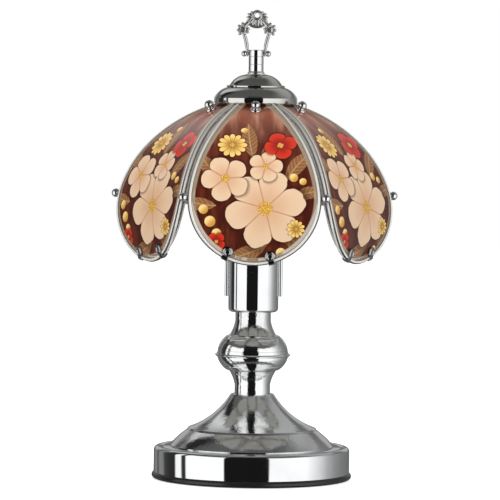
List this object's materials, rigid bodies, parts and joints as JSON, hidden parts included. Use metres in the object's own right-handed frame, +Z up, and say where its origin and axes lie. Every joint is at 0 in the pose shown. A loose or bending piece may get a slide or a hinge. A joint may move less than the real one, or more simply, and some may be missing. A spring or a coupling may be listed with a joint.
{
  "type": "touch lamp",
  "caption": "Chrome table lamp that switches by touch, with a flared base, turned neck, bent printed glass petals in bright rims, domed cap and bail finial",
  "frame": {"origin": "on the table, under the middle of the round base", "axes": "+Z up along the lamp's pipe, -Y towards the viewer, +X to the viewer's right"},
  "size_m": [0.2198, 0.1912, 0.3613],
  "materials": {
    "felt": "short dark felt",
    "black_plastic": "moulded black plastic, half gloss",
    "black_rubber": "soft black moulding",
    "chrome_plate": "mirror chrome plate",
    "cast_chrome": "chrome plate over a fine casting",
    "dark_chrome": "darkened chrome plate",
    "weight_iron": "raw casting",
    "zinc_steel": "zinc plated steel",
    "porcelain": "white glaze",
    "contact_brass": "thin pressed brass",
    "lead_cover": "soft insulation",
    "printed_glass": "glossy bent glass, printed in warm colours",
    "frosted_glass": "frosted inside",
    "stem_glass": "clear",
    "bulb_aluminium": "rolled thread, bright",
    "black_glass": "black vitrite",
    "tungsten": "drawn wire"
  },
  "bodies": {
    "stand": {"felt_pad": "felt", "bottom_cover": "black_plastic", "cover_screws": "zinc_steel", "base_drum": "chrome_plate", "cord_bushing": "black_rubber", "base_weight": "weight_iron", "touch_module": "black_plastic", "pipe_washer": "zinc_steel", "lower_nut": "zinc_steel", "lamp_pipe": "zinc_steel", "bell": "chrome_plate", "neck_lower": "chrome_plate", "neck_ring": "chrome_plate", "neck_upper": "chrome_plate", "socket_cup": "chrome_plate", "upper_nut": "zinc_steel", "socket_holder": "zinc_steel", "socket_body": "porcelain", "screw_shell": "contact_brass", "middle_contact": "contact_brass", "socket_screws": "zinc_steel", "harp": "chrome_plate", "shade_stud": "zinc_steel", "lamp_leads": "lead_cover", "touch_lead": "lead_cover"},
    "shade": {"shade_hub": "chrome_plate", "top_screws": "zinc_steel", "top_knobs": "chrome_plate", "side_screws": "zinc_steel", "side_knobs": "chrome_plate", "bottom_clips": "dark_chrome", "cap_spacer": "zinc_steel", "shade_cap": "chrome_plate", "crown_dome": "chrome_plate", "glass_panel_1": "printed_glass", "glass_panel_2": "printed_glass", "glass_panel_3": "printed_glass", "glass_panel_4": "printed_glass", "glass_panel_5": "printed_glass", "glass_panel_6": "printed_glass", "panel_rim_1": "chrome_plate", "panel_rim_2": "chrome_plate", "panel_rim_3": "chrome_plate", "panel_rim_4": "chrome_plate", "panel_rim_5": "chrome_plate", "panel_rim_6": "chrome_plate", "shade_rib_1": "chrome_plate", "shade_rib_2": "chrome_plate", "shade_rib_3": "chrome_plate", "shade_rib_4": "chrome_plate", "shade_rib_5": "chrome_plate", "shade_rib_6": "chrome_plate"},
    "finial": {"crown_tube": "chrome_plate", "bail_pin": "chrome_plate"},
    "bail": {"finial_bail": "cast_chrome"},
    "bulb": {"bulb_insulator": "black_glass", "bulb_base": "bulb_aluminium", "bulb_glass": "frosted_glass", "bulb_stem": "stem_glass", "bulb_filament": "tungsten"}
  },
  "joints": [
    {"name": "shade_turn", "type": "hinge", "parent": "stand", "child": "shade", "pos_m": [0, 0, 0], "axis": [0, 0, 1], "continuous": true},
    {"name": "finial_turn", "type": "hinge", "parent": "stand", "child": "finial", "pos_m": [0, 0, 0], "axis": [0, 0, 1], "continuous": true},
    {"name": "bail_tilt", "type": "hinge", "parent": "finial", "child": "bail", "pos_m": [0, 0, 0.32724], "axis": [1, 0, 0], "range_deg": [-90, 90]},
    {"name": "bulb_turn", "type": "hinge", "parent": "stand", "child": "bulb", "pos_m": [0, 0, 0], "axis": [0, 0, 1], "continuous": true}
  ]
}
